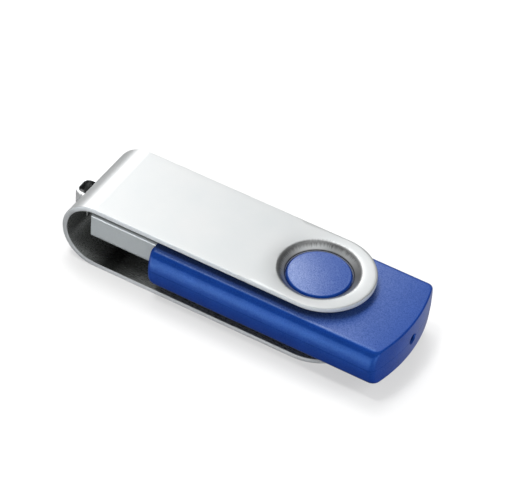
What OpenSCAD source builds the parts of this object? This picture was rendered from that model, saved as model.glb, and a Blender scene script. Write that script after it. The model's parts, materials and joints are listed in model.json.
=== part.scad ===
// Swivel-cover USB flash drive, in millimetres.
// +X runs towards the rounded rear end, the plug points towards -X, +Z is up.
// The origin is on the surface it lies on, under the middle of its length.

/* [Clip] */
// Width of the metal strip
clip_w = 16; // [14:0.5:17]
// Height over both legs of the clip
clip_h = 11.5; // [11:0.1:13]
// Thickness of the strip
strip_t = 0.85; // [0.7:0.05:1]
// Distance from the pivot to the outside of the bend
clip_reach = 40.05; // [39.5:0.05:44]
// How far the centre of the rounded ends lies beyond the pivot
clip_end_shift = 0.7; // [0:0.1:1.5]

/* [Swivel] */
// Diameter of the round bosses that the clip turns on
boss_d = 9.9; // [9:0.1:10.5]
// Radial clearance of the clip's holes round the bosses
boss_clearance = 0.1; // [0.05:0.01:0.1]
// How far the boss faces lie below the clip's outer faces
boss_drop = 0.6; // [0.4:0.1:0.8]
// Diameter of the dish pressed into the clip round each hole
dish_d = 12.4; // [11.5:0.1:13]
// Depth of that dish
dish_drop = 1.1; // [0.6:0.05:1.1]
// Axial clearance between the dishes and the shoulders under them
shoulder_gap = 0.1; // [0.05:0.01:0.15]
// Thickness of the plastic over the hollow in the back of each boss
boss_skin = 1.2; // [1:0.1:1.6]

/* [Housing] */
// Width of the plastic housing at its widest
body_w = 19.2; // [18.5:0.1:20]
// Thickness of the housing
body_h = 6.7; // [6.6:0.1:7]
// Distance from the pivot to the front face
body_front = 24.05; // [23.8:0.05:24.5]
// Distance from the pivot to the middle of the bowed rear face
body_rear = 16.25; // [15.8:0.05:17]
// How far the housing's middle lies above the clip's middle
body_lift = 0.2; // [0:0.05:0.3]
// Wall thickness over the top and bottom
wall = 1.05; // [0.9:0.05:1.1]
// Radius of the long edges
edge_r = 1.5; // [1:0.1:1.6]
// Radius of the front face's top edge
front_top_r = 0.4; // [0.3:0.1:1.8]
// Radius of the front face's bottom edge
front_bottom_r = 1.8; // [0.8:0.1:1.9]
// Radius of the bowed sides, seen from the end
side_bow_r = 9; // [8:0.5:12]
// Radius of the bowed rear face, seen from above
rear_bow_r = 28; // [26:1:40]
// Radius of the rear face's crown, seen from the side
rear_crown_r = 60; // [16:2:80]
// Radius of the rear corners, seen from above
rear_corner_r = 1.2; // [0.8:0.1:1.5]
// Diameter of the indicator hole in the rear face
led_hole_d = 1.6; // [1.2:0.1:2]

/* [Plug] */
// Width of the plug's metal shell
plug_w = 12; // [11.9:0.1:12.1]
// Height of the plug's metal shell
plug_h = 4.5; // [4.4:0.1:4.6]
// Length of the plug outside the housing
plug_out = 12.1; // [11.8:0.1:12.3]
// Whole length of the plug's metal shell
plug_l = 18.2; // [17.8:0.1:18.4]
// Thickness of the plug's sheet metal
sheet_t = 0.3; // [0.25:0.05:0.35]
// Outside corner radius of the plug
plug_r = 0.5; // [0.4:0.1:0.6]

/* [Circuit board] */
// Length of the board
board_l = 30.6; // [30:0.1:30.8]
// Width of the board
board_w = 14.6; // [14.2:0.1:15]
// Thickness of the board
board_t = 0.8; // [0.6:0.1:0.9]

/* [Lanyard loop] */
// Width of the loop, seen from above
loop_w = 4; // [3.6:0.1:4.6]
// How far the loop stands out from the bend
loop_out = 2.1; // [1.5:0.05:2.2]
// Width of the loop's strip, which stands on edge
loop_h = 2.8; // [2:0.1:3]
// Thickness of the loop's strip
loop_t = 0.5; // [0.4:0.05:0.6]

/* [Hidden] */
$fn = 64;
eps = 0.01;
far = 100;

// Lengths
pivot_x = (clip_reach + loop_out - body_rear) / 2;
body_z = clip_h / 2 + body_lift;
bend_r = clip_h / 2;
bend_x = bend_r - clip_reach;
hole_r = boss_d / 2 + boss_clearance;
dish_r = dish_d / 2;

// Heights above the housing's middle of the clip's two outer faces
clip_top = clip_h / 2 - body_lift;
clip_bottom = clip_h / 2 + body_lift;

// Inside of the housing
cavity_front = body_front - 1.2;
cavity_rear = 13.6;
cavity_w = 15.8;
cavity_h = body_h - 2 * wall;
lip_t = 0.5;
lip_h = 0.6;
fit_gap = 0.05;
ledge_w = 1;
ledge_l = 6;
ledges_x = [-16, 4];

// The plug, its insulator and its contacts
plug_tip = -(body_front + plug_out);
plug_back = plug_tip + plug_l;
window_l = 2.3;
window_w = 2.5;
window_x = 5.2;
window_y = 2.6;
tab_l = 2.2;
tab_down = 1.6;
tongue_inset = 0.4;
tongue_top = 0.15;
mouth_depth = 9;
contact_w = 1;
contact_t = 0.25;
contact_tail = 1.5;
// How far behind the tip the two outer and two inner contacts begin
power_start = 1.2;
data_start = 2.2;
power_y = 3.5;
data_y = 1;

// The board and what is on it
board_x = plug_back + 0.1;
slot_gap = 0.15;
lead_pitch = 0.5;
lead_w = 0.2;
lead_t = 0.12;
flash_x = 0.9;
flash_l = 18.4;
flash_w = 12;
flash_h = 1;
flash_leads = 24;
controller_x = -6;
controller_w = 7;
controller_h = 1;
controller_leads_a_side = 12;
lead_out = 0.8;
chip_lift = 0.05;

// Puts its children at the pivot, level with the housing's middle.
module at_pivot() {
    translate([pivot_x, 0, body_z]) children();
}

// Stands a drawing in the XZ plane and gives it a thickness across Y.
module across(width) {
    rotate([90, 0, 0]) linear_extrude(width, center = true) children();
}

// A rectangle centred on the origin, with round corners.
module round_rectangle(length, width, r) {
    square([length - 2 * r, width], center = true);
    square([length, width - 2 * r], center = true);
    for (x = [-1, 1], y = [-1, 1])
        translate([x * (length / 2 - r), y * (width / 2 - r)]) circle(r);
}

// The right half of a bar whose end bows out to `reach`, with rounded corners.
// The corner arcs run smoothly into the bow and into the long edges.
module bowed_half(reach, half, bow_r, corner_r) {
    bow_x = reach - bow_r;
    corner_y = half - corner_r;
    corner_x = bow_x + sqrt(pow(bow_r - corner_r, 2) - pow(corner_y, 2));
    translate([0, -half]) square([corner_x, 2 * half]);
    for (side = [-1, 1])
        translate([corner_x, side * corner_y]) circle(corner_r);
    intersection() {
        translate([bow_x, 0]) circle(bow_r, $fn = 180);
        ray = [corner_x - bow_x, corner_y] * 2;
        polygon([
            [bow_x, 0],
            [bow_x + ray.x, -ray.y],
            [bow_x + ray.x, ray.y],
        ]);
    }
}

// A small box on the board: bottom centre, then size.
module chip_body(place, size) {
    translate([place.x, place.y, place.z + size.z / 2]) cube(size, center = true);
}

// One bent lead, with its foot at z = 0 and its root on the chip's side.
module gull_lead(rise) {
    across(lead_w) polygon([
        [0, rise], [lead_out * 0.35, rise], [lead_out * 0.55, lead_t],
        [lead_out * 0.55, 0], [lead_out, 0], [lead_out, lead_t],
        [lead_out * 0.7, lead_t], [lead_out * 0.45, rise + lead_t], [0, rise + lead_t],
    ]);
}

// A row of leads along Y, growing towards +X.
module lead_row(count, rise) {
    for (i = [0 : count - 1])
        translate([0, (i - (count - 1) / 2) * lead_pitch, 0]) gull_lead(rise);
}

// ---- Clip ----

// The clip's outline from the side, shrunk evenly by `inset`.
module clip_side(inset) {
    r = bend_r - inset;
    translate([bend_x, 0]) circle(r, $fn = 128);
    translate([bend_x, -r]) square([far, 2 * r]);
}

// The clip's outline from above.
module clip_plan() {
    translate([-clip_reach - 1, -clip_w / 2]) square([clip_reach + 1 + clip_end_shift, clip_w]);
    translate([clip_end_shift, 0]) circle(clip_w / 2, $fn = 128);
}

// The dished ring round a hole; `top` is the height of the outer face.
module dish(top) {
    rotate_extrude($fn = 128) polygon([
        [dish_r, top], [hole_r, top - dish_drop],
        [hole_r, top - dish_drop - strip_t], [dish_r, top - strip_t],
    ]);
}

// The two slots in the bend that the loop's ends pass through.
module loop_slots() {
    for (side = [-1, 1])
        translate([-clip_reach, side * (loop_w - loop_t) / 2, 0])
            cube([4, loop_t + 2 * fit_gap, loop_h + 2 * fit_gap], center = true);
}

module swivel_clip() {
    color([0.78, 0.79, 0.79]) translate([pivot_x, 0, clip_h / 2]) difference() {
        union() {
            difference() {
                intersection() {
                    across(clip_w + 2) difference() {
                        clip_side(0);
                        clip_side(strip_t);
                    }
                    linear_extrude(clip_h + 2, center = true) clip_plan();
                }
                cylinder(r = dish_r, h = clip_h + 2, center = true, $fn = 128);
            }
            dish(clip_h / 2);
            mirror([0, 0, 1]) dish(clip_h / 2);
        }
        loop_slots();
    }
}

// A strip bent into a loop; its ends pass through the bend and fold flat inside.
module lanyard_loop() {
    bow = loop_w / 2 - 0.4;
    inner_r = bend_r - strip_t;
    tab_x = strip_t + inner_r - sqrt(pow(inner_r, 2) - pow(loop_h / 2, 2)) + fit_gap;
    tab_reach = 1.2;
    color([0.85, 0.86, 0.87]) translate([pivot_x - clip_reach, 0, clip_h / 2])
        linear_extrude(loop_h, center = true) {
            difference() {
                length = 2 * (loop_out + tab_x + loop_t);
                translate([tab_x + loop_t, 0]) difference() {
                    round_rectangle(length, loop_w, bow);
                    round_rectangle(length - 2 * loop_t, loop_w - 2 * loop_t, bow - loop_t);
                }
                translate([tab_x + loop_t, -far / 2]) square(far);
            }
            for (side = [-1, 1])
                translate([tab_x, side * (loop_w + tab_reach - loop_t) / 2 - (tab_reach + loop_t) / 2])
                    square([loop_t, tab_reach + loop_t]);
        }
}

// ---- Housing ----

// The housing's outline from the end.
module housing_end() {
    for (side = [0, 1]) mirror([side, 0, 0])
        bowed_half(body_w / 2, body_h / 2, side_bow_r, edge_r);
}

// The housing's outline from above.
module housing_plan() {
    front_r = 0.8;
    half = body_w / 2 + fit_gap;
    bowed_half(body_rear, half, rear_bow_r, rear_corner_r);
    translate([-body_front / 2 + 1, 0]) round_rectangle(body_front + 2, 2 * half, front_r);
}

// The housing's outline from the side.
module housing_side(front_r) {
    bowed_half(body_rear, body_h / 2, rear_crown_r, 0.3);
    translate([-body_front / 2 + 1, 0]) round_rectangle(body_front + 2, body_h, front_r);
}

module housing_solid(front_r) {
    intersection() {
        rotate([90, 0, 90]) linear_extrude(far, center = true) housing_end();
        linear_extrude(body_h + 2, center = true) housing_plan();
        across(body_w + 2) housing_side(front_r);
    }
}

module housing_cavity() {
    translate([-cavity_front, -cavity_w / 2, -cavity_h / 2])
        cube([cavity_front + cavity_rear, cavity_w, cavity_h]);
}

// The openings that both shells share: for the plug and for the indicator.
module housing_openings() {
    rotate([90, 0, -90]) linear_extrude(far) round_rectangle(
        plug_w + 2 * fit_gap, plug_h + 2 * fit_gap, plug_r + fit_gap);
    translate([body_rear, 0, 0]) rotate([0, 90, 0]) cylinder(d = led_hole_d, h = 8, center = true);
}

// One half shell, drawn with its joint face at z = 0 and its boss upwards.
// `face` is the height of the clip's outer face above the joint.
module half_shell(face, front_r) {
    shoulder_top = face - dish_drop - strip_t - shoulder_gap;
    boss_top = face - boss_drop;
    difference() {
        union() {
            difference() {
                intersection() {
                    housing_solid(front_r);
                    translate([-far / 2, -far / 2, 0]) cube(far);
                }
                housing_cavity();
            }
            translate([0, 0, body_h / 2 - wall]) {
                cylinder(r = dish_r, h = shoulder_top - body_h / 2 + wall, $fn = 128);
                cylinder(d = boss_d, h = boss_top - body_h / 2 + wall, $fn = 128);
            }
        }
        translate([0, 0, cavity_h / 2 - eps])
            cylinder(d = boss_d - 2 * boss_skin, h = boss_top - boss_skin - cavity_h / 2, $fn = 96);
        housing_openings();
    }
}

// Blocks on the inside walls that guide the plug and hold the board's edges.
module inner_blocks(board_face) {
    top = cavity_h / 2 + eps;
    for (side = [-1, 1]) {
        for (x = ledges_x)
            translate([x, side * (cavity_w - ledge_w) / 2, 0]) translate([0, -ledge_w / 2, board_face])
                cube([ledge_l, ledge_w, top - board_face]);
        guide_w = (cavity_w - plug_w) / 2 - fit_gap;
        translate([-cavity_front, side * (cavity_w - guide_w) / 2, 0]) translate([-eps, -guide_w / 2, 0.7])
            cube([3.4, guide_w, top - 0.7]);
    }
}

// The tongue along both side walls that locates one shell in the other.
module seam_lip(gap) {
    for (side = [-1, 1])
        translate([-12, side * (cavity_w / 2 + lip_t / 2), 0])
            translate([0, -lip_t / 2 - gap, -eps]) cube([22, lip_t + 2 * gap, lip_h + gap + eps]);
}

module upper_shell() {
    color([0.13, 0.25, 0.62]) at_pivot() difference() {
        union() {
            half_shell(clip_top, front_top_r);
            inner_blocks(fit_gap);
        }
        seam_lip(fit_gap);
    }
}

module lower_shell() {
    color([0.12, 0.23, 0.6]) at_pivot() {
        mirror([0, 0, 1]) {
            half_shell(clip_bottom, front_bottom_r);
            inner_blocks(board_t + fit_gap);
        }
        seam_lip(0);
    }
}

// ---- Plug ----

module plug_windows() {
    for (side = [-1, 1])
        translate([plug_tip + window_x, side * window_y, 0])
            cube([window_l, window_w, plug_h + 2], center = true);
}

module plug_shell() {
    color([0.75, 0.76, 0.77]) at_pivot() {
        difference() {
            translate([plug_tip, 0, 0]) rotate([90, 0, 90]) linear_extrude(plug_l) difference() {
                round_rectangle(plug_w, plug_h, plug_r);
                round_rectangle(plug_w - 2 * sheet_t, plug_h - 2 * sheet_t, plug_r - sheet_t);
            }
            plug_windows();
        }
        for (side = [-1, 1])
            translate([plug_back - eps, side * (plug_w - sheet_t) / 2, 0]) across(sheet_t) polygon([
                [0, 1.2], [0, -0.6], [0.5, -tab_down], [1.4, -tab_down], [tab_l, -0.4], [tab_l, 1.2],
            ]);
    }
}

// Where one contact strip runs; `start` is how far behind the tip it begins.
module contact_strip(y, start, gap) {
    x = plug_tip + start;
    translate([x, y - contact_w / 2 - gap, 0])
        cube([plug_back + contact_tail - x, contact_w + 2 * gap, contact_t + gap]);
}

module plug_insulator() {
    inner_w = plug_w - 2 * sheet_t - 2 * fit_gap;
    inner_h = plug_h - 2 * sheet_t - 2 * fit_gap;
    color([0.93, 0.93, 0.9]) at_pivot() difference() {
        union() {
            translate([plug_tip + tongue_inset, -inner_w / 2, -inner_h / 2])
                cube([plug_l - tongue_inset, inner_w, inner_h / 2 + tongue_top]);
            translate([plug_tip + mouth_depth, -inner_w / 2, -inner_h / 2])
                cube([plug_l - mouth_depth, inner_w, inner_h]);
        }
        for (side = [-1, 1]) {
            contact_strip(side * power_y, power_start, 0);
            contact_strip(side * data_y, data_start, 0);
        }
    }
}

module contact(y, start) {
    color([0.86, 0.68, 0.3]) at_pivot() contact_strip(y, start, 0);
}

module vbus_contact() {
    contact(-power_y, power_start);
}

module data_minus_contact() {
    contact(-data_y, data_start);
}

module data_plus_contact() {
    contact(data_y, data_start);
}

module ground_contact() {
    contact(power_y, power_start);
}

// ---- Circuit board ----

module circuit_board() {
    corner = 0.8;
    half = board_w / 2;
    color([0.1, 0.42, 0.22]) at_pivot() translate([board_x, 0, -board_t]) linear_extrude(board_t)
        difference() {
            polygon([
                [0, -half], [board_l - corner, -half], [board_l, corner - half],
                [board_l, half - corner], [board_l - corner, half], [0, half],
            ]);
            for (side = [-1, 1])
                translate([tab_l / 2, side * (plug_w - sheet_t) / 2])
                    square([tab_l + 2 * slot_gap, sheet_t + 2 * slot_gap], center = true);
        }
}

module flash_chip() {
    color([0.13, 0.13, 0.14]) at_pivot() difference() {
        chip_body([flash_x, 0, chip_lift], [flash_l, flash_w, flash_h]);
        translate([flash_x - flash_l / 2 + 1.4, flash_w / 2 - 1.4, chip_lift + flash_h])
            cylinder(d = 1, h = 0.1, center = true);
    }
}

module flash_chip_leads() {
    color([0.7, 0.7, 0.7]) at_pivot() for (side = [0, 1])
        translate([flash_x, 0, 0]) rotate([0, 0, side * 180]) translate([flash_l / 2, 0, 0])
            lead_row(flash_leads, chip_lift + flash_h / 2);
}

// Turns its children over onto the underside of the board.
module under_board() {
    translate([0, 0, -board_t]) mirror([0, 0, 1]) children();
}

module controller_chip() {
    color([0.12, 0.12, 0.13]) at_pivot() under_board()
        chip_body([controller_x, 0, chip_lift], [controller_w, controller_w, controller_h]);
}

module controller_leads() {
    color([0.7, 0.7, 0.7]) at_pivot() under_board() translate([controller_x, 0, 0])
        for (quarter = [0 : 3])
            rotate([0, 0, quarter * 90]) translate([controller_w / 2, 0, 0])
                lead_row(controller_leads_a_side, chip_lift + controller_h / 2);
}

module crystal() {
    color([0.8, 0.8, 0.78]) at_pivot() {
        chip_body([-13, 0, 0], [3.2, 5, 0.6]);
        translate([-13, 0, 0.6]) linear_extrude(0.5) round_rectangle(2.7, 4.5, 0.4);
    }
}

module crystal_capacitors() {
    color([0.72, 0.6, 0.45]) at_pivot() for (y = [-3.6, 3.6])
        chip_body([-13, y, 0], [1, 0.5, 0.5]);
}

module supply_capacitors() {
    color([0.7, 0.56, 0.4]) at_pivot() {
        for (y = [-5.4, 5.4])
            chip_body([-10.5, y, 0], [0.8, 1.6, 0.8]);
        under_board() for (x = [-13, 1.6])
            chip_body([x, 3, 0], [0.8, 1.6, 0.8]);
    }
}

module resistors() {
    color([0.1, 0.1, 0.11]) at_pivot() under_board() {
        for (y = [-data_y, data_y])
            chip_body([-14.6, y, 0], [1.6, 0.8, 0.45]);
        for (x = [3.5, 10.4])
            chip_body([x, -2.4, 0], [1.6, 0.8, 0.45]);
    }
}

module ferrite_bead() {
    color([0.25, 0.23, 0.22]) at_pivot() under_board()
        chip_body([-14.4, -3.6, 0], [1.6, 0.8, 0.8]);
}

module status_led() {
    color([0.9, 0.9, 0.8]) at_pivot() {
        chip_body([11.65, 0, 0], [0.8, 1.6, 0.25]);
        chip_body([11.65, 0, 0.25], [0.8, 1, 0.35]);
    }
}

// Fillets of solder behind the four contact tails.
module contact_solder() {
    start = plug_back + contact_tail;
    color([0.8, 0.8, 0.8]) at_pivot() for (y = [-power_y, -data_y, data_y, power_y])
        translate([start, y, 0]) across(contact_w * 1.1) polygon([
            [0, 0], [0.5, 0], [0.25, 0.08], [0, contact_t],
        ]);
}

// Fillets of solder on both faces of the plug's two tabs, under the board.
module tab_solder() {
    color([0.8, 0.8, 0.8]) at_pivot() for (side = [-1, 1], face = [-1, 1])
        translate([plug_back + 0.4, side * (plug_w - sheet_t) / 2 + face * sheet_t / 2, -board_t])
            rotate([90, 0, 90]) linear_extrude(1.15)
                polygon([[0, 0], [face * 0.6, 0], [face * 0.25, -0.3], [0, -0.55]]);
}

swivel_clip();
lanyard_loop();
upper_shell();
lower_shell();
plug_shell();
plug_insulator();
vbus_contact();
data_minus_contact();
data_plus_contact();
ground_contact();
circuit_board();
flash_chip();
flash_chip_leads();
controller_chip();
controller_leads();
crystal();
crystal_capacitors();
supply_capacitors();
resistors();
ferrite_bead();
status_led();
contact_solder();
tab_solder();
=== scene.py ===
import json
from functools import reduce
from math import asin, atan2, cos, degrees, hypot, pi, radians, sin, sqrt, tau

import bmesh
import bpy
from mathutils import Matrix, Vector


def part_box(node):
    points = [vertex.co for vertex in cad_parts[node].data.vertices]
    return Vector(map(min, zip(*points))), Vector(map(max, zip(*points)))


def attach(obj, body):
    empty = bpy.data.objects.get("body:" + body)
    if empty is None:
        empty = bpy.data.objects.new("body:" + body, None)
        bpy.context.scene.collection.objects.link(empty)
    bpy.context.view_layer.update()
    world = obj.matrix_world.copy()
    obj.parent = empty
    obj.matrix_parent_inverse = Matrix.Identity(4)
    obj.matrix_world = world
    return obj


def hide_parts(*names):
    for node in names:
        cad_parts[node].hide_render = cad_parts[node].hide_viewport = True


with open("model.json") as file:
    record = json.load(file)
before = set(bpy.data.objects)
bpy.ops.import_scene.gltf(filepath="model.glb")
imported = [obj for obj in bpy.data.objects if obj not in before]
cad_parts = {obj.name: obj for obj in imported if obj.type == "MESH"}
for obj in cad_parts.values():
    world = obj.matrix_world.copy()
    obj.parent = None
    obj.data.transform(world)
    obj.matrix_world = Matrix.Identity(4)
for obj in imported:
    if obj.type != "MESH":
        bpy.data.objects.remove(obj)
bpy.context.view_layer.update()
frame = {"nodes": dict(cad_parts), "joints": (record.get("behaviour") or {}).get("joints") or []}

MM = 0.001
scene = bpy.context.scene

# ---- Sizes in millimetres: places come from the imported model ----


def box_mm(node):
    """The low and high corners of a CAD node's box."""
    low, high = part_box(node)
    return low / MM, high / MM


pivot = Vector(frame["joints"][0]["pos_m"]) / MM
clip_low, clip_high = box_mm("swivel_clip")
upper_low, upper_high = box_mm("upper_shell")
lower_low, _ = box_mm("lower_shell")
loop_low, loop_high = box_mm("lanyard_loop")
plug_low, plug_high = box_mm("plug_shell")

# Clip, measured from the pivot and from its own middle height
clip_centre = Vector((pivot.x, 0, (clip_low.z + clip_high.z) / 2))
clip_half_w = clip_high.y
clip_half_h = (clip_high.z - clip_low.z) / 2
clip_reach = pivot.x - clip_low.x
end_shift = clip_high.x - pivot.x - clip_half_w
bend_x = clip_half_h - clip_reach
ring_cut_x = -9.5
strip_t = 0.85
rim_bevel = 0.14

# Swivel: the clip's holes with the dish round each, and the bosses in them
hole_r = 5.15
dish_r = 6.6
cone_r = 6.1
dish_drop = 1.1
hollow_r = 9
dish_hollow = 0.18
boss_r = 4.95
boss_rim_r = 0.35
boss_dome_r = 26
boss_dome_rise = 0.08
shoulder_r = 6.2
shoulder_gap = 0.1

# Lanyard loop
loop_t = 0.5
loop_bow_r = 1.25
loop_fold_r = 0.4
loop_fold_steps = 6
loop_edge_r = 0.13
loop_half_w = 1.75
loop_half_h = (loop_high.z - loop_low.z) / 2
loop_out = clip_low.x - loop_low.x
slot_gap = 0.05

# Housing, measured from the pivot and from the joint between its two shells
seam = Vector((pivot.x, 0, pivot.z))
body_half_w = upper_high.y
body_half_h = 3.35
body_front = pivot.x - upper_low.x
body_rear = upper_high.x - pivot.x
side_bow_r = 9
rear_bow_r = 28
rear_crown_r = 60
front_corner_r = 0.8
rear_corner_r = 1.2
rear_edge_r = 0.3
upper_edge_r = 1.2
lower_edge_r = 1.5
upper_front_r = 0.4
lower_front_r = 1.8
seam_chamfer = 0.03
face_crown = 0.15
wall = 1.05
cavity_front = body_front - 1.2
cavity_rear = 13.6
cavity_half_w = 7.9
boss_skin = 1.2
cavity_corner_r = 0.4
led_hole_r = 0.8
led_flare = 0.2

# Plug
plug_half_w = plug_high.y
plug_half_h = (plug_high.z - plug_low.z) / 2
plug_r = 0.5
fit_gap = 0.05

floor_gap = 0.05

# ---- Mesh helpers ----


def arc(centre, r, start, end, steps):
    """Points along an arc, with angles in degrees; both ends are included."""
    angles = [radians(start + (end - start) * i / steps) for i in range(steps + 1)]
    return [(centre[0] + r * cos(a), centre[1] + r * sin(a)) for a in angles]


def loft(rings, close_ends=True):
    """A mesh through equal rings of points."""
    bm = bmesh.new()
    rows = [[bm.verts.new(p) for p in ring] for ring in rings]
    count = len(rings[0])
    for low, high in zip(rows, rows[1:]):
        for i in range(count):
            j = (i + 1) % count
            bm.faces.new((low[i], low[j], high[j], high[i]))
    if close_ends:
        bm.faces.new(list(reversed(rows[0])))
        bm.faces.new(rows[-1])
    return bm


def lathe(profile, steps=128):
    """A solid of revolution about Z through (radius, height) points."""
    angles = [tau * i / steps for i in range(steps)]
    return loft([[(r * cos(a), r * sin(a), z) for a in angles] for r, z in profile])


def extrusion(outline, low, high):
    """An outline raised from one height to another."""
    return loft([[(x, y, z) for x, y in outline] for z in (low, high)])


def round_rectangle(half_l, half_w, r, steps=6):
    """The outline of a rectangle with round corners, counter-clockwise."""
    x, y = half_l - r, half_w - r
    corners = [((x, y), 0), ((-x, y), 90), ((-x, -y), 180), ((x, -y), 270)]
    return [p for centre, start in corners for p in arc(centre, r, start, start + 90, steps)]


def as_object(name, bm, origin=Vector()):
    """Makes an object from a mesh in millimetres about `origin`."""
    bmesh.ops.recalc_face_normals(bm, faces=bm.faces)
    mesh = bpy.data.meshes.new(name)
    bm.to_mesh(mesh)
    bm.free()
    mesh.transform(Matrix.Translation(origin * MM) @ Matrix.Scale(MM, 4))
    made = bpy.data.objects.new(name, mesh)
    scene.collection.objects.link(made)
    return made


def combine(base, tool, operation):
    """Joins a tool to a solid, or cuts it out, and throws the tool away."""
    modifier = base.modifiers.new("combine", "BOOLEAN")
    modifier.operation = operation
    modifier.object = tool
    modifier.solver = "EXACT"
    bake(base)
    bpy.data.objects.remove(tool)


def bake(made):
    """Replaces an object's mesh with what its modifiers make of it."""
    bpy.context.view_layer.update()
    evaluated = made.evaluated_get(bpy.context.evaluated_depsgraph_get())
    mesh = bpy.data.meshes.new_from_object(evaluated)
    made.modifiers.clear()
    made.data = mesh


def clean(made):
    """Splits many-sided faces into triangles and drops the slivers that booleans leave."""
    bm = bmesh.new()
    bm.from_mesh(made.data)
    bmesh.ops.triangulate(bm, faces=[face for face in bm.faces if len(face.verts) > 4])
    bmesh.ops.dissolve_degenerate(bm, dist=0.001 * MM, edges=bm.edges)
    bm.to_mesh(made.data)
    bm.free()


def soften(made, width, limit=30, segments=3):
    """Rounds the sharp edges of an object."""
    bevel = made.modifiers.new("rounded_edges", "BEVEL")
    bevel.width = width * MM
    bevel.segments = segments
    bevel.limit_method = "ANGLE"
    bevel.angle_limit = radians(limit)
    bevel.miter_outer = "MITER_ARC"


def shade(made, angle=35):
    """Smooth shading, apart from the edges sharper than `angle` degrees."""
    bake(made)
    for face in made.data.polygons:
        face.use_smooth = True
    made.data.set_sharp_from_angle(angle=radians(angle))
    weighted = made.modifiers.new("even_shading", "WEIGHTED_NORMAL")
    weighted.keep_sharp = True
    bake(made)


def place_piece(made, body, slot, node, *materials):
    """Paints a piece and lets it ride on a body in place of a CAD node."""
    for material in materials:
        made.data.materials.append(material)
    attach(made, body)
    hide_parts(node)


# ---- Materials ----


class Paint:
    """A Principled material and a short way to add nodes to it."""

    def __init__(self, name, colour, metallic=0.0, roughness=0.4):
        self.material = bpy.data.materials.new(name)
        self.material.use_nodes = True
        self.tree = self.material.node_tree
        self.shader = self.tree.nodes["Principled BSDF"]
        self.material.diffuse_color = (*colour, 1)
        self.set("Base Color", (*colour, 1))
        self.set("Metallic", metallic)
        self.set("Roughness", roughness)

    def set(self, name, value):
        self.join(self.shader.inputs[name], value)

    def join(self, socket, value):
        if isinstance(value, bpy.types.NodeSocket):
            self.tree.links.new(value, socket)
        else:
            socket.default_value = value

    def node(self, kind, inputs=(), **settings):
        made = self.tree.nodes.new(kind)
        for name, value in settings.items():
            setattr(made, name, value)
        for name, value in dict(inputs).items():
            self.join(made.inputs[name], value)
        return made

    def place(self, scale=(1, 1, 1), turn=(0, 0, 0)):
        """The piece's own coordinates in millimetres, stretched by `scale`."""
        coordinates = self.node("ShaderNodeTexCoord").outputs["Object"]
        mapping = self.node("ShaderNodeMapping", {
            "Vector": coordinates,
            "Rotation": [radians(a) for a in turn],
            "Scale": [s / MM for s in scale],
        })
        return mapping.outputs["Vector"]

    def along(self, axis):
        """The piece's own coordinate along one axis, in millimetres."""
        return self.node("ShaderNodeSeparateXYZ", {"Vector": self.place()}).outputs[axis]

    def noise(self, scale, detail=3.0, roughness=0.6, stretch=(1, 1, 1), turn=(0, 0, 0)):
        """Noise whose grain is about 1 / scale millimetres."""
        return self.node("ShaderNodeTexNoise", {
            "Vector": self.place(stretch, turn),
            "Scale": scale,
            "Detail": detail,
            "Roughness": roughness,
        }).outputs["Fac"]

    def spread(self, value, low, high, start=0.3, end=0.7):
        """Maps `value` from start..end to low..high."""
        return self.node("ShaderNodeMapRange", {
            "Value": value, "From Min": start, "From Max": end, "To Min": low, "To Max": high,
        }).outputs["Result"]

    def blend(self, factor, first, second, mode="MIX"):
        """Colours mixed by `factor`."""
        made = self.node("ShaderNodeMix", data_type="RGBA", blend_type=mode)
        self.join(made.inputs["Factor"], factor)
        for name, colour in (("A", first), ("B", second)):
            fixed = not isinstance(colour, bpy.types.NodeSocket)
            self.join(made.inputs[name], (*colour, 1) if fixed else colour)
        return made.outputs["Result"]

    def math(self, operation, a, b=0.0):
        made = self.node("ShaderNodeMath", operation=operation)
        self.join(made.inputs[0], a)
        self.join(made.inputs[1], b)
        return made.outputs["Value"]

    def vector(self, operation, a, b=(0, 0, 0), result="Vector"):
        made = self.node("ShaderNodeVectorMath", {0: a, 1: b}, operation=operation)
        return made.outputs[result]

    def bump(self, height, distance, strength=1.0):
        """Relief of `distance` millimetres."""
        self.set("Normal", self.node("ShaderNodeBump", {
            "Height": height, "Distance": distance * MM, "Strength": strength,
        }).outputs["Normal"])


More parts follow.
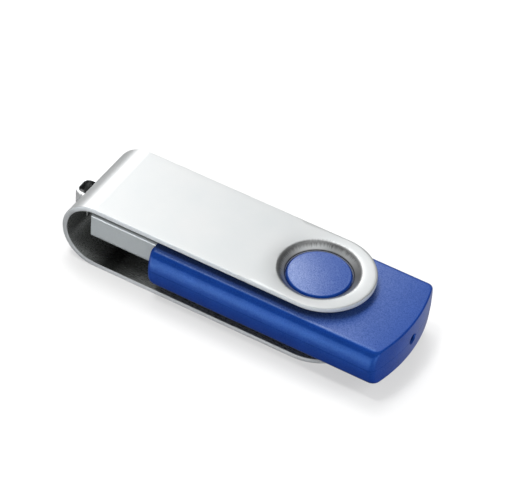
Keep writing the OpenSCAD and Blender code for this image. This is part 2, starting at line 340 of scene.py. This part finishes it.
def satin_steel():
    """Satin steel sheet with a fine grain along its length; round the hole, scoring darkened further as
    painted shade, painted shade on the side towards the round end, and a painted shadow at the hole's
    edge.
    """
    paint = Paint("satin_steel", (0.80, 0.81, 0.81), metallic=1.0)
    grain = paint.noise(6, stretch=(0.12, 3, 3))
    cloud = paint.noise(0.12)
    tint = paint.blend(paint.spread(cloud, 0, 1), (0.60, 0.62, 0.625), (0.64, 0.65, 0.65))
    from_pivot = paint.vector("ADD", paint.place(), (-pivot.x, 0, 0))
    flat = paint.vector("MULTIPLY", from_pivot, (1, 1, 0))
    far = paint.vector("LENGTH", flat, result="Value")
    ray = paint.vector("NORMALIZE", flat)
    strokes = paint.node("ShaderNodeTexNoise", {
        "Vector": ray, "Scale": 38.0, "Detail": 4.0, "Roughness": 0.7,
    }).outputs["Fac"]
    # Scoring in a ring on the dish's rounded lip, darker than scratches alone would be: partly real
    # scoring, partly painted shade.
    reach = paint.math("ADD", far, paint.spread(strokes, -0.22, 0.22))
    begins = paint.spread(reach, 0, 1, dish_r - 1.0, dish_r - 0.6)
    ends = paint.spread(reach, 1, 0, dish_r - 0.5, dish_r + 0.05)
    ring = paint.math("MULTIPLY", begins, ends)
    scoring_and_shade = paint.math("MULTIPLY", ring, paint.spread(strokes, 0.55, 0.95))
    # Painted shade: the dish's lip darker on the side towards the clip's round end.
    towards_end = paint.node("ShaderNodeSeparateXYZ", {"Vector": ray}).outputs["X"]
    near = paint.spread(reach, 1, 0, dish_r - 0.5, dish_r - 0.1)
    end_shade = paint.math("MULTIPLY", near, paint.spread(towards_end, 0, 0.85, 0.3, 0.9))
    scored_and_shaded = paint.blend(paint.math("MAXIMUM", scoring_and_shade, end_shade), tint, (0.16, 0.16, 0.16))
    # Painted shadow: a dark line round the edge of the hole.
    hole_shadow = paint.spread(far, 1, 0, hole_r + 0.05, hole_r + 0.21)
    paint.set("Base Color", paint.blend(hole_shadow, scored_and_shaded, (0.03, 0.03, 0.03)))
    rough = paint.math("ADD", paint.spread(grain, 0.38, 0.46), paint.spread(cloud, -0.02, 0.03))
    paint.set("Roughness", rough)
    paint.bump(grain, 0.0012)
    return paint.material


def cut_steel():
    """The cut edge of the sheet, brushed across, with painted shade and light: darker low down, darkest
    at the foot of the bend, and lighter towards the top.
    """
    paint = Paint("cut_steel", (0.72, 0.75, 0.77), metallic=0.35)
    strokes = paint.noise(5, stretch=(2.5, 0.4, 0.6), turn=(0, 35, 0))
    # Painted shade and light: the edge darker low down, darkest at the foot of the bend, and lighter
    # near the top.
    bend_shade = paint.spread(paint.along("X"), 1, 0, clip_low.x, clip_low.x + 12)
    below = paint.blend(bend_shade, (0.50, 0.52, 0.54), (0.32, 0.335, 0.345))
    high = paint.spread(paint.along("Z"), 0, 1, clip_high.z - 2.5, clip_high.z)
    tint = paint.blend(high, below, (0.58, 0.62, 0.64))
    paint.set("Base Color", paint.blend(paint.spread(strokes, 0, 1), tint, (0.9, 0.9, 0.9), "MULTIPLY"))
    paint.set("Roughness", paint.spread(strokes, 0.45, 0.6))
    paint.bump(strokes, 0.004)
    return paint.material


def inner_steel():
    """The duller inner face of the sheet, painted darker than the outer face as shade, darkest just past
    where the bend runs into the legs, and painted lighter in the bend and towards the housing.
    """
    paint = Paint("inner_steel", (0.30, 0.31, 0.30), metallic=0.7)
    cloud = paint.noise(0.25)
    grain = paint.noise(5, stretch=(0.3, 2, 2))
    along = paint.along("X")
    # Painted shade and light along the leg: dark just past the bend, lighter in the bend and towards the
    # housing.
    bent = paint.spread(along, 1, 0, clip_low.x + 3.5, clip_low.x + 7.5)
    lit_towards_housing = paint.spread(along, 0, 1, clip_low.x + 9, clip_low.x + 15)
    tint = paint.blend(paint.math("MAXIMUM", bent, lit_towards_housing), (0.03, 0.032, 0.03), (0.28, 0.29, 0.28))
    paint.set("Base Color", paint.blend(paint.spread(cloud, 0, 1), tint, (0.75, 0.75, 0.75), "MULTIPLY"))
    paint.set("Roughness", paint.spread(grain, 0.22, 0.34))
    paint.bump(grain, 0.0015)
    return paint.material


def chrome(name, tone, metallic):
    """Polished plate with faint scratches."""
    paint = Paint(name, (tone, tone * 1.02, tone * 1.03), metallic)
    scratches = paint.noise(4, detail=5, stretch=(1, 1, 8))
    paint.set("Roughness", paint.spread(scratches, 0.10, 0.20))
    paint.bump(scratches, 0.0015)
    return paint.material


def blue_plastic():
    """Blue plastic with a fine spark-eroded texture; its sides shine blue; its flats painted paler with
    a whiter gloss, a painted sheen fading towards the rear; its rounded edges and its lower part painted
    darker as shade.
    """
    paint = Paint("blue_plastic", (0.01, 0.05, 0.30), roughness=0.3)
    normal = paint.node("ShaderNodeNewGeometry").outputs["Normal"]
    facing = paint.node("ShaderNodeSeparateXYZ", {"Vector": normal}).outputs["Z"]
    upright = paint.math("ABSOLUTE", facing)
    speckle = paint.noise(5.5, detail=3)
    cloud = paint.noise(0.3)
    # Painted sheen: faces that point up or down get a paler colour, a stronger gloss and a whiter gloss
    # tint, fading towards the rear.
    sheen_towards_front = paint.spread(paint.along("X"), 1, 0.35, pivot.x + 5, pivot.x + body_rear)
    flat = paint.math("MULTIPLY", sheen_towards_front, paint.spread(upright, 0, 1, 0.9, 1.0))
    # Painted shade: the deep blue darker where faces turn from upright towards up or down, as on the
    # rounded edges.
    rounding_shade = paint.spread(upright, 0, 1, 0.2, 0.6)
    # Painted shade: the deep blue darker, and the sides' gloss weaker, towards the bottom of the
    # housing.
    height = paint.spread(paint.along("Z"), 0, 1, clip_centre.z - 3, clip_centre.z)
    deep = paint.blend(paint.spread(cloud, 0, 1), (0.004, 0.031, 0.205), (0.006, 0.040, 0.245))
    for tone in (paint.blend(rounding_shade, (1, 1, 1), (0.6, 0.56, 0.56)),
                 paint.blend(height, (0.55, 0.75, 0.86), (1, 1, 1))):
        deep = paint.blend(1.0, deep, tone, "MULTIPLY")
    painted_sheen_colour = paint.blend(paint.spread(speckle, 0, 1), (0.016, 0.040, 0.155), (0.030, 0.060, 0.195))
    paint.set("Base Color", paint.blend(flat, deep, painted_sheen_colour))
    side_gloss = paint.spread(height, 0.2, 0.5, 0, 1)
    gloss = paint.spread(flat, side_gloss, 1.25, 0, 1)
    paint.set("Specular IOR Level", paint.math("MULTIPLY", paint.spread(speckle, 0.3, 1.7), gloss))
    paint.set("Specular Tint", paint.blend(flat, (0.12, 0.42, 1.0), (0.85, 0.92, 1.0)))
    paint.bump(speckle, 0.012)
    return paint.material


def nickel_plate():
    """Satin nickel plate on the plug's sheet metal."""
    paint = Paint("nickel_plate", (0.74, 0.75, 0.75), metallic=0.5)
    grain = paint.noise(5, stretch=(0.5, 2, 2))
    tint = paint.blend(paint.spread(grain, 0, 1), (0.42, 0.455, 0.47), (0.47, 0.505, 0.52))
    paint.set("Base Color", tint)
    paint.set("Roughness", paint.spread(grain, 0.28, 0.38))
    paint.bump(grain, 0.0015)
    return paint.material


def grained(name, dark, light, scale, roughness, relief, metallic=0.0):
    """A plain material whose colour, gloss and relief vary with a grain."""
    paint = Paint(name, light, metallic)
    grain = paint.noise(scale)
    paint.set("Base Color", paint.blend(paint.spread(grain, 0, 1), dark, light))
    paint.set("Roughness", paint.spread(grain, roughness - 0.05, roughness + 0.08))
    paint.bump(grain, relief)
    return paint.material


def board_laminate():
    """Green solder mask with copper tracks just showing under it."""
    paint = Paint("board_laminate", (0.03, 0.2, 0.08), roughness=0.35)
    waves = paint.node("ShaderNodeTexWave", {
        "Vector": paint.place(), "Scale": 0.8, "Distortion": 1.5, "Detail": 1.0,
    }, bands_direction="Y")
    track = paint.spread(waves.outputs["Fac"], 0, 1, 0.55, 0.6)
    grain = paint.noise(3)
    mask = paint.blend(paint.spread(grain, 0, 1), (0.012, 0.10, 0.035), (0.018, 0.13, 0.045))
    paint.set("Base Color", paint.blend(track, mask, (0.04, 0.24, 0.08)))
    paint.bump(track, 0.02)
    return paint.material


def paint_cad_nodes():
    """Gives the plug and everything inside the housing, which stay CAD nodes, their materials."""
    resin = grained("chip_resin", (0.012, 0.012, 0.013), (0.022, 0.022, 0.024), 6, 0.55, 0.004)
    tin = grained("tinned_leads", (0.58, 0.58, 0.58), (0.74, 0.74, 0.73), 5, 0.28, 0.002, metallic=1)
    can = grained("crystal_can", (0.62, 0.61, 0.58), (0.76, 0.75, 0.72), 2, 0.25, 0.002, metallic=1)
    ceramic = grained("capacitor_ceramic", (0.30, 0.19, 0.10), (0.42, 0.29, 0.17), 4, 0.5, 0.003)
    resistor = grained("resistor_film", (0.008, 0.008, 0.009), (0.02, 0.02, 0.022), 5, 0.3, 0.003)
    ferrite = grained("ferrite", (0.03, 0.027, 0.025), (0.06, 0.055, 0.05), 4, 0.6, 0.006)
    led = grained("led_resin", (0.62, 0.62, 0.50), (0.75, 0.75, 0.66), 3, 0.15, 0.001)
    solder = grained("solder", (0.55, 0.56, 0.57), (0.78, 0.78, 0.79), 2, 0.2, 0.006, metallic=1)
    gold = grained("contact_gold", (0.75, 0.48, 0.16), (0.86, 0.60, 0.24), 3, 0.22, 0.002, metallic=1)
    white = grained("insulator_plastic", (0.72, 0.72, 0.69), (0.82, 0.82, 0.79), 3, 0.5, 0.003)
    nodes_by_material = (
        (nickel_plate(), ["plug_shell"]),
        (white, ["plug_insulator"]),
        (gold, ["vbus_contact", "data_minus_contact", "data_plus_contact", "ground_contact"]),
        (board_laminate(), ["circuit_board"]),
        (resin, ["flash_chip", "controller_chip"]),
        (tin, ["flash_chip_leads", "controller_leads"]),
        (can, ["crystal"]),
        (ceramic, ["crystal_capacitors", "supply_capacitors"]),
        (resistor, ["resistors"]),
        (ferrite, ["ferrite_bead"]),
        (led, ["status_led"]),
        (solder, ["contact_solder", "tab_solder"]),
    )
    for material, names in nodes_by_material:
        for name in names:
            mesh = frame["nodes"][name].data
            mesh.materials.clear()
            mesh.materials.append(material)


# ---- Clip ----

# The places of the clip's three materials
outer_skin, cut_edge, inner_skin = range(3)


def across_lines():
    """Lines along the strip; four of them are the edges of the loop's slots."""
    slot_in = loop_half_w - loop_t / 2 - slot_gap
    slot_out = loop_half_w + loop_t / 2 + slot_gap
    outer = [slot_out + (clip_half_w - slot_out) * i / 5 for i in range(6)]
    half = [0, slot_in / 2, slot_in] + outer
    return sorted({-y for y in half} | set(half))


def dish_depth(r):
    """How far the dish lies below the outer face at radius r: a hollow, a rounded lip, a cone."""
    hollow = dish_hollow * (max(0, hollow_r - r) / (hollow_r - hole_r)) ** 2
    lip = dish_r - cone_r
    slope = (dish_drop - dish_hollow) / (lip / 2 + cone_r - hole_r)
    if r >= dish_r:
        cone = 0
    elif r >= cone_r:
        cone = slope * (dish_r - r) ** 2 / (2 * lip)
    else:
        cone = slope * (lip / 2 + cone_r - max(r, hole_r))
    return hollow + cone


def leg_point(side, x, y, depth):
    """A point of the upper (1) or lower (-1) leg, `depth` below its outer face."""
    drop = dish_depth(hypot(x, y)) + depth
    return Vector((x, y, side * (clip_half_h - drop)))


def bend_point(angle, y, depth):
    """A point of the bend, with the angle up from the middle of its back."""
    r = clip_half_h - depth
    return Vector((bend_x - r * cos(angle), y, r * sin(angle)))


def ring_outline(lines):
    """The outline of the leg's round end, counter-clockwise from its near cut corner."""
    straight = 14
    arc_steps = 60
    span = end_shift - ring_cut_x
    near = [(ring_cut_x + span * i / straight, -clip_half_w) for i in range(straight)]
    end = arc((end_shift, 0), clip_half_w, -90, 90, arc_steps)
    far = [(end_shift - span * i / straight, clip_half_w) for i in range(1, straight)]
    cut = [(ring_cut_x, y) for y in reversed(lines)]
    return near + end + far + cut[:-1]


def sheet_mesh(points, quads):
    """An outer and an inner skin of named points, joined by walls at every open edge."""
    bm = bmesh.new()
    verts = {key: [bm.verts.new(p) for p in pair] for key, pair in points.items()}
    edges = {}
    for quad in quads:
        bm.faces.new([verts[key][0] for key in quad]).material_index = outer_skin
        bm.faces.new([verts[key][1] for key in reversed(quad)]).material_index = inner_skin
        for a, b in zip(quad, quad[1:] + quad[:1]):
            edges.setdefault(frozenset((a, b)), []).append((a, b))
    for uses in edges.values():
        if len(uses) == 1:
            a, b = uses[0]
            wall_face = bm.faces.new((verts[b][0], verts[a][0], verts[a][1], verts[b][1]))
            wall_face.material_index = cut_edge
    return bm


def clip_mesh():
    """The bent sheet: two dished legs, and the bend between them with the loop's two slots."""
    lines = across_lines()
    columns = len(lines)
    outline = ring_outline(lines)
    count = len(outline)
    points = {}
    quads = []

    def add(key, point, *where):
        """Names a point of the sheet, on its outer and its inner skin."""
        points[key] = (point(*where, 0), point(*where, strip_t))
        return key

    def around(ring, side, places):
        """A closed row of points round the hole."""
        return [add((side, ring, i), leg_point, side, x, y) for i, (x, y) in enumerate(places)]

    leg_ends = {}
    for side in (1, -1):
        turns = [atan2(y, x) for x, y in outline]
        rings = []
        for k in range(17):
            r = hole_r + (dish_r - hole_r) * k / 16
            rings.append(around(("dish", k), side, [(r * cos(a), r * sin(a)) for a in turns]))
        for t in (0.25, 0.5, 0.75, 1):
            skirt = [(dish_r * cos(a) * (1 - t) + x * t, dish_r * sin(a) * (1 - t) + y * t)
                     for a, (x, y) in zip(turns, outline)]
            rings.append(around(("skirt", t), side, skirt))
        for a, b in zip(rings, rings[1:]):
            quads.extend((a[i], a[(i + 1) % count], b[(i + 1) % count], b[i]) for i in range(count))
        # The cut is the last stretch of the outline, and its last point is the first one.
        cut = [rings[-1][(count - columns + 1 + i) % count] for i in range(columns)]
        rows = [list(reversed(cut))]
        for step in range(1, 5):
            x = ring_cut_x + (bend_x - ring_cut_x) * step / 4
            rows.append([add((side, step, i), leg_point, side, x, y) for i, y in enumerate(lines)])
        for a, b in zip(rows, rows[1:]):
            quads.extend((a[i], a[i + 1], b[i + 1], b[i]) for i in range(columns - 1))
        leg_ends[side] = rows[-1]

    slot_angle = asin((loop_half_h + slot_gap) / clip_half_h)
    upper = [pi / 2 + (slot_angle - pi / 2) * i / 14 for i in range(15)]
    middle = [slot_angle * (1 - i / 2) for i in range(1, 4)]
    angles = upper + middle + [-a for a in reversed(upper)]
    rows = [[add(("bend", k, i), bend_point, angle, y) for i, y in enumerate(lines)]
            for k, angle in enumerate(angles[1:-1])]
    rows = [leg_ends[1], *rows, leg_ends[-1]]
    slot_rows = range(len(upper) - 1, len(upper) + 3)
    for k, (a, b) in enumerate(zip(rows, rows[1:])):
        for i in range(columns - 1):
            middle_y = abs(lines[i] + lines[i + 1]) / 2
            if k not in slot_rows or abs(middle_y - loop_half_w) >= loop_t / 2:
                quads.append((a[i], a[i + 1], b[i + 1], b[i]))
    return sheet_mesh(points, quads)


def make_clip():
    """The bent sheet with its rim rounded, in the cover's body."""
    clip = as_object("cover_clip", clip_mesh(), clip_centre)
    soften(clip, rim_bevel, limit=28)
    shade(clip, 40)
    place_piece(clip, "cover", "clip_steel", "swivel_clip", satin_steel(), cut_steel(), inner_steel())


# ---- Lanyard loop ----


def loop_path():
    """Half of the loop's centre line, from its nose to the end of its folded tab."""
    nose_x = loop_t / 2 - loop_out
    inner_r = clip_half_h - strip_t
    tab_x = strip_t + inner_r - sqrt(inner_r ** 2 - loop_half_h ** 2) + fit_gap + loop_t / 2
    corner = arc((nose_x + loop_bow_r, loop_half_w - loop_bow_r), loop_bow_r, 180, 90, 10)
    turn = arc((tab_x - loop_fold_r, loop_half_w + loop_fold_r), loop_fold_r, 270, 360, loop_fold_steps)
    return [(nose_x, 0)] + corner + turn + [(tab_x, loop_high.y)]


def make_loop():
    """The strip on edge along its path; its inner side and its folded tabs are painted darker as shade.
    """
    half = loop_path()
    path = [(x, -y) for x, y in reversed(half)] + half[1:]
    left, right = [], []
    for i, (x, y) in enumerate(path):
        before, after = path[max(i - 1, 0)], path[min(i + 1, len(path) - 1)]
        along = Vector((after[0] - before[0], after[1] - before[1])).normalized()
        shift = Vector((-along.y, along.x)) * loop_t / 2
        left.append((x + shift.x, y + shift.y))
        right.append((x - shift.x, y - shift.y))
    bm = bmesh.new()
    rows = []
    for outline in (left, right):
        for z in (-loop_half_h, loop_half_h):
            rows.append([bm.verts.new((x, y, z)) for x, y in outline])
    left_low, left_high, right_low, right_high = rows
    bright, dark = 0, 1
    stretches = len(path) - 1
    for a, b, skin in ((left_low, left_high, bright), (left_high, right_high, bright),
                       (right_high, right_low, dark), (right_low, left_low, bright)):
        for i in range(stretches):
            folded = min(i, stretches - 1 - i) <= loop_fold_steps
            face = bm.faces.new((a[i], a[i + 1], b[i + 1], b[i]))
            face.material_index = dark if folded else skin
    for i in (0, -1):
        end = bm.faces.new((left_low[i], left_high[i], right_high[i], right_low[i]))
        end.material_index = dark
    loop = as_object("lanyard_strip", bm, Vector((clip_low.x, 0, clip_centre.z)))
    soften(loop, loop_edge_r, limit=50, segments=4)
    shade(loop, 50)
    # The inner chrome is a darker copy of the bright chrome: painted shade on the inner side and the
    # folded tabs.
    outside, inside = chrome("bright_chrome", 0.8, 0.6), chrome("inner_chrome", 0.3, 1.0)
    place_piece(loop, "cover", "loop_chrome", "lanyard_loop", outside, inside)


# ---- Housing ----


def housing_levels(edge_r):
    """(half width, height) points up the bowed side and over its rounded edge."""
    bow_y = body_half_w - side_bow_r
    edge_z = body_half_h - edge_r
    edge_y = bow_y + sqrt((side_bow_r - edge_r) ** 2 - edge_z ** 2)
    join = degrees(atan2(edge_z, edge_y - bow_y))
    bow = arc((bow_y, 0), side_bow_r, 0, join, 6)
    edge = arc((edge_y, edge_z), edge_r, join, 90, 16)
    chamfer = [(body_half_w - seam_chamfer, 0), (body_half_w, seam_chamfer)]
    return chamfer + bow[1:] + edge[1:]


def receded(z, r):
    """How far a rounded edge of radius r has drawn back at height z."""
    above = max(0, z - (body_half_h - r))
    return r - sqrt(max(0, r * r - above * above))


def housing_ring(half_w, z, front_edge_r):
    """The housing's outline at one height, counter-clockwise from the middle of the rear face."""
    chamfer = max(0, seam_chamfer - z)
    front = -body_front + receded(z, front_edge_r) + chamfer
    crown = rear_crown_r - sqrt(rear_crown_r ** 2 - z * z)
    rear = body_rear - crown - receded(z, rear_edge_r) - chamfer
    bow_x = rear - rear_bow_r
    corner_y = half_w - rear_corner_r
    corner_x = bow_x + sqrt((rear_bow_r - rear_corner_r) ** 2 - corner_y ** 2)
    join = degrees(atan2(corner_y, corner_x - bow_x))
    half = arc((bow_x, 0), rear_bow_r, 0, join, 10)
    half += arc((corner_x, corner_y), rear_corner_r, join, 90, 8)[1:]
    front_x = front + front_corner_r
    half += [(corner_x + (front_x - corner_x) * i / 6, half_w) for i in range(1, 6)]
    half += arc((front_x, half_w - front_corner_r), front_corner_r, 90, 180, 8)
    half += [(front, 0)]
    other = [(x, -y) for x, y in reversed(half[1:-1])]
    return [(x, y, z) for x, y in half + other]


def face_rings(outline):
    """Rings that close the housing's face inwards, crowned a little in its middle."""
    middle = (body_rear - body_front) / 2
    sizes = [1 - i / 8.1 for i in range(1, 9)]
    return [[(middle + (x - middle) * size, y * size, z + face_crown * (1 - size ** 2))
             for x, y, z in outline] for size in sizes]


def boss_profile(shoulder_top, boss_top):
    """(radius, height) points of a boss: its shoulder, its rounded rim and its dome."""
    edge = boss_r - boss_rim_r
    centre = boss_top - boss_dome_r
    rim_z = centre + sqrt(boss_dome_r ** 2 - edge ** 2) - boss_rim_r
    rim = arc((edge, rim_z), boss_rim_r, 0, 84, 6)
    radii = [edge * (1 - i / 12) for i in range(12)]
    dome = [(r, centre + sqrt(boss_dome_r ** 2 - r * r)) for r in radii]
    foot = body_half_h - wall / 2
    shoulder = [(shoulder_r, foot), (shoulder_r, shoulder_top), (boss_r, shoulder_top)]
    return shoulder + rim + dome + [(0.01, boss_top)]


def shell_cuts(boss_top):
    """What is cut out of a shell: its inside, the boss's core, the plug's mouth and the light hole."""
    cavity_top = body_half_h - wall
    half_l = (cavity_front + cavity_rear) / 2
    middle = (cavity_rear - cavity_front) / 2
    floor_plan = round_rectangle(half_l, cavity_half_w, cavity_corner_r)
    yield "hollow", extrusion([(x + middle, y) for x, y in floor_plan], -1, cavity_top)

    core_r = boss_r - boss_skin
    sag = boss_dome_r - sqrt(boss_dome_r ** 2 - (boss_r - boss_rim_r) ** 2)
    yield "core", lathe([(core_r, cavity_top - 0.2), (core_r, boss_top - boss_skin - sag)])

    opening = round_rectangle(plug_half_h + fit_gap, plug_half_w + fit_gap, plug_r + fit_gap)
    mouth_ends = (-body_front - 1, -cavity_front + 1)
    yield "mouth", loft([[(x, y, z) for z, y in opening] for x in mouth_ends])

    wide = led_hole_r + led_flare
    bore = [(body_rear + 1, wide), (body_rear + 0.02, wide),
            (body_rear - led_flare, led_hole_r), (cavity_rear - 1, led_hole_r)]
    turns = [tau * i / 48 for i in range(48)]
    yield "bore", loft([[(x, r * cos(a), r * sin(a)) for a in turns] for x, r in bore])


def make_shell(name, node, side, edge_r, front_edge_r, face, boss_top, plastic):
    """One half of the housing with its boss, hollow inside; side is 1 for the upper one.

    `face` is the height of the clip's outer face above the joint between the shells."""
    rings = [housing_ring(w, z, front_edge_r) for w, z in housing_levels(edge_r)]
    shell = as_object(name, loft(rings + face_rings(rings[-1])))
    boss_top += boss_dome_rise
    shoulder_top = face - dish_drop - strip_t - shoulder_gap
    combine(shell, as_object("boss", lathe(boss_profile(shoulder_top, boss_top))), "UNION")
    for cut, bm in shell_cuts(boss_top):
        combine(shell, as_object(cut, bm), "DIFFERENCE")
    clean(shell)
    shell.data.transform(Matrix.Translation(seam * MM) @ Matrix.Diagonal((1, 1, side, 1)))
    if side < 0:
        shell.data.flip_normals()
    shade(shell, 32)
    place_piece(shell, "housing", "blue_plastic", node, plastic)


def make_housing():
    """Both halves of the housing, in one blue plastic."""
    plastic = blue_plastic()
    make_shell("housing_upper", "upper_shell", 1, upper_edge_r, upper_front_r,
               clip_high.z - pivot.z, upper_high.z - pivot.z, plastic)
    make_shell("housing_lower", "lower_shell", -1, lower_edge_r, lower_front_r,
               pivot.z - clip_low.z, pivot.z - lower_low.z, plastic)


# ---- Stage, light and camera ----


def make_floor():
    """A plain pale floor just under the drive, too wide for its edge to show."""
    bm = bmesh.new()
    bmesh.ops.create_grid(bm, x_segments=1, y_segments=1, size=2000)
    floor = as_object("floor", bm, Vector((0, 0, -floor_gap)))
    paint = Paint("studio_paper", (0.9, 0.9, 0.9), roughness=0.9)
    grain = paint.noise(0.02)
    paint.set("Base Color", paint.blend(grain, (0.235, 0.235, 0.235), (0.245, 0.245, 0.245)))
    paint.set("Emission Color", (1, 1, 1, 1))
    paint.set("Emission Strength", 0.5)
    floor.data.materials.append(paint.material)
    floor.visible_glossy = False


def area_light(name, place, size, power):
    """A square light facing the drive; the world's lights are the ones that it mirrors."""
    light = bpy.data.lights.new(name, "AREA")
    light.size = size
    light.energy = power
    made = bpy.data.objects.new(name, light)
    made.location = place
    made.rotation_euler = (-Vector(place)).to_track_quat("-Z", "Y").to_euler()
    made.visible_glossy = False
    scene.collection.objects.link(made)


def make_world():
    """A dim studio for the drive to mirror: each light is a strength and where it stands."""
    world = bpy.data.worlds.new("studio")
    scene.world = world
    world.use_nodes = True
    tree = world.node_tree

    def node(kind, inputs, **settings):
        made = tree.nodes.new(kind)
        for name, value in settings.items():
            setattr(made, name, value)
        for name, value in inputs.items():
            if isinstance(value, bpy.types.NodeSocket):
                tree.links.new(value, made.inputs[name])
            else:
                made.inputs[name].default_value = value
        return made.outputs

    def curve(value, stops):
        """Brightness through (value, brightness) stops, where `value` runs from -1 to 1."""
        climb = node("ShaderNodeMapRange", {"Value": value, "From Min": -1.0})["Result"]
        ramp = tree.nodes.new("ShaderNodeValToRGB")
        tree.links.new(climb, ramp.inputs["Fac"])
        elements = ramp.color_ramp.elements
        while len(elements) < len(stops):
            elements.new(0.5)
        for element, (place, level) in zip(elements, stops):
            element.position = (place + 1) / 2
            element.color = (level, level, level, 1)
        return ramp.outputs["Color"]

    def toward(*aim):
        """The cosine of the angle from the direction `aim`."""
        return node("ShaderNodeVectorMath", {0: direction, 1: Vector(aim).normalized()},
                    operation="DOT_PRODUCT")["Value"]

    def mixed(first, second, operation):
        return node("ShaderNodeMath", {0: first, 1: second}, operation=operation)[0]

    direction = tree.nodes.new("ShaderNodeTexCoord").outputs["Generated"]
    up = toward(0, 0, 1)
    behind = toward(-0.57, 0.82, 0)
    aside = toward(0.82, 0.57, 0)
    grazing = curve(up, [(-0.56, 0), (-0.47, 1), (-0.35, 1), (-0.26, 0)])
    lights = {
        "softbox": (
            3.15,
            curve(aside, [(-0.42, 0), (-0.28, 1), (-0.1, 1), (0.1, 0)]),
            curve(behind, [(-0.1, 0), (0.1, 1)]),
            curve(up, [(0.15, 0), (0.3, 1)]),
        ),
        "room": (
            0.8,
            curve(aside, [(-0.35, 0), (-0.1, 1)]),
            curve(behind, [(-0.35, 1), (-0.1, 0)]),
            curve(up, [(0.1, 0), (0.25, 1)]),
        ),
        "glow": (
            0.55,
            curve(aside, [(-1, 0.5), (-0.2, 1), (0.1, 1), (0.5, 0)]),
            curve(behind, [(0.0, 0), (0.4, 1)]),
            curve(up, [(-0.05, 0), (0.3, 1)]),
        ),
        "table": (
            0.48,
            curve(toward(-0.9, 0.3, -0.3), [(0.7, 0), (0.85, 1)]),
            curve(up, [(-0.6, 0), (-0.48, 1), (-0.1, 1), (0.1, 0)]),
        ),
        "right": (
            0.4,
            curve(toward(0.6, 0.8, -0.4), [(0.6, 0), (0.85, 1)]),
            curve(up, [(-0.70, 0), (-0.58, 1), (0.3, 0.5), (0.45, 0)]),
        ),
        "window": (
            0.5,
            curve(toward(-0.3, -0.93, 0.2), [(0.4, 0), (0.7, 1)]),
            curve(up, [(0, 0), (0.1, 1), (0.66, 1), (0.76, 0)]),
        ),
        "strip": (7.5, grazing, curve(toward(-0.3, -0.87, -0.4), [(0.7, 0), (0.95, 1)])),
        "corner": (6.0, grazing, curve(toward(0.8, -0.4, -0.4), [(0.9, 0), (0.98, 1)])),
        "rear": (0.36, curve(toward(0.15, 0.72, -0.68), [(0.9, 0), (0.98, 1)])),
    }
    total = 0.1
    for factors in lights.values():
        total = mixed(total, reduce(lambda a, b: mixed(a, b, "MULTIPLY"), factors), "ADD")
    tree.links.new(total, tree.nodes["Background"].inputs["Color"])


def viewed_from(azimuth, elevation):
    """The direction from the drive to a camera at these angles in radians."""
    return Vector((sin(azimuth) * cos(elevation), -cos(azimuth) * cos(elevation), sin(elevation)))


def make_camera():
    """A long lens from above the drive's near side, aimed a little aside and rolled a little."""
    distance = 402.8
    aim_azimuth = radians(26.50)
    away = viewed_from(radians(24.49), radians(43.82))
    back = viewed_from(aim_azimuth, radians(43.04))
    roll = radians(5.41)
    target = Vector((pivot.x, 0, pivot.z + 0.39))
    right = Vector((cos(aim_azimuth), sin(aim_azimuth), 0))
    up = back.cross(right)
    turned_right = right * cos(roll) + up * sin(roll)
    turned_up = up * cos(roll) - right * sin(roll)
    data = bpy.data.cameras.new("camera")
    data.sensor_width = 36
    data.lens = 192.4
    data.clip_start = 0.01
    data.clip_end = 20
    camera = bpy.data.objects.new("camera", data)
    rotation = Matrix((turned_right, turned_up, back)).transposed().to_4x4()
    camera.matrix_world = Matrix.Translation((target + away * distance) * MM) @ rotation
    scene.collection.objects.link(camera)
    scene.camera = camera


make_clip()
make_loop()
make_housing()
paint_cad_nodes()
make_floor()
make_world()
area_light("overhead", (-0.12, 0.16, 0.6), 0.25, 3.3)
area_light("key", (-0.12, -0.1, 0.6), 0.1, 2.2)
area_light("fill_left", (-0.55, -0.3, 0.33), 0.3, 0.6)
area_light("fill_right", (0.5, 0.1, 0.45), 0.4, 2.4)
make_camera()
scene.view_settings.view_transform = "Standard"
